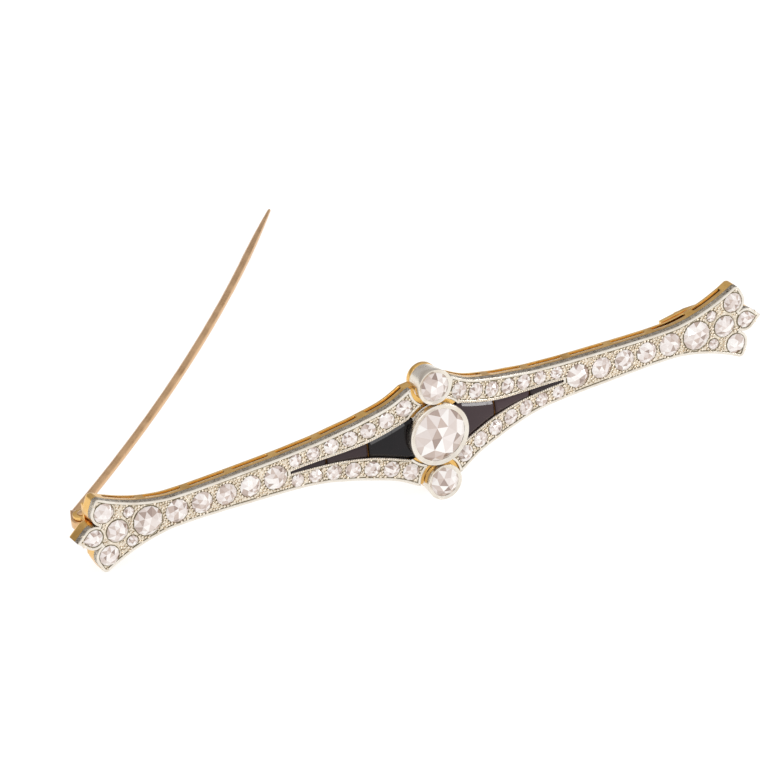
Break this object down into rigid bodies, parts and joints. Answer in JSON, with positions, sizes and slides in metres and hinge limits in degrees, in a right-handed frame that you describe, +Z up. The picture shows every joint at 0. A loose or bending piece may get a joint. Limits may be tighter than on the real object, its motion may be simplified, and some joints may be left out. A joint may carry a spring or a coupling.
{
  "type": "bar brooch",
  "caption": "Slender bar brooch: white-metal top set with cut stones on a pierced gold gallery, black inlays, raised centre settings, trefoil ends and a hinged pin standing open.",
  "frame": {"origin": "middle of the bounding box at the surface that the brooch stands on", "axes": "+X along the bar towards the catch, -Y out of the jewelled face, +Z up; the face leans back by about seven degrees"},
  "size_m": [0.0798, 0.0615, 0.015],
  "materials": {
    "white_metal": "polished platinum-white metal, grained pave ground",
    "yellow_gold": "polished yellow gold",
    "pin_gold": "drawn and polished gold wire",
    "diamond": "old-cut, polished facets",
    "onyx": "polished black onyx"
  },
  "bodies": {
    "brooch": {"gold_gallery": "yellow_gold", "left_top": "white_metal", "right_top": "white_metal", "main_bezel": "white_metal", "upper_collet": "white_metal", "lower_collet": "white_metal", "main_diamond": "diamond", "upper_diamond": "diamond", "lower_diamond": "diamond", "left_onyx_inner": "onyx", "left_onyx_middle": "onyx", "left_onyx_tip": "onyx", "right_onyx_inner": "onyx", "right_onyx_middle": "onyx", "right_onyx_tip": "onyx", "left_row_diamond_1": "diamond", "left_row_diamond_2": "diamond", "left_row_diamond_3": "diamond", "left_row_diamond_4": "diamond", "left_row_diamond_5": "diamond", "left_row_diamond_last": "diamond", "right_row_diamond_1": "diamond", "right_row_diamond_2": "diamond", "right_row_diamond_3": "diamond", "right_row_diamond_4": "diamond", "right_row_diamond_5": "diamond", "right_row_diamond_last": "diamond", "left_trefoil_diamond": "diamond", "left_upper_lobe_diamond": "diamond", "left_lower_lobe_diamond": "diamond", "left_pear_diamond": "diamond", "left_tiny_diamonds": "diamond", "right_trefoil_diamond": "diamond", "right_upper_lobe_diamond": "diamond", "right_lower_lobe_diamond": "diamond", "right_pear_diamond": "diamond", "right_tiny_diamonds": "diamond", "left_upper_rail_diamonds": "diamond", "left_lower_rail_diamonds": "diamond", "right_upper_rail_diamonds": "diamond", "right_lower_rail_diamonds": "diamond", "hinge_block": "yellow_gold", "hinge_rivet": "yellow_gold", "catch_hook": "yellow_gold"},
    "pin": {"pin": "pin_gold"}
  },
  "joints": [
    {"name": "pin_hinge", "type": "hinge", "parent": "brooch", "child": "pin", "pos_m": [-0.03728, -0.02286, 0.00378], "axis": [-0.0707, 0.1318, 0.9888], "range_deg": [-47.5, 42]}
  ]
}
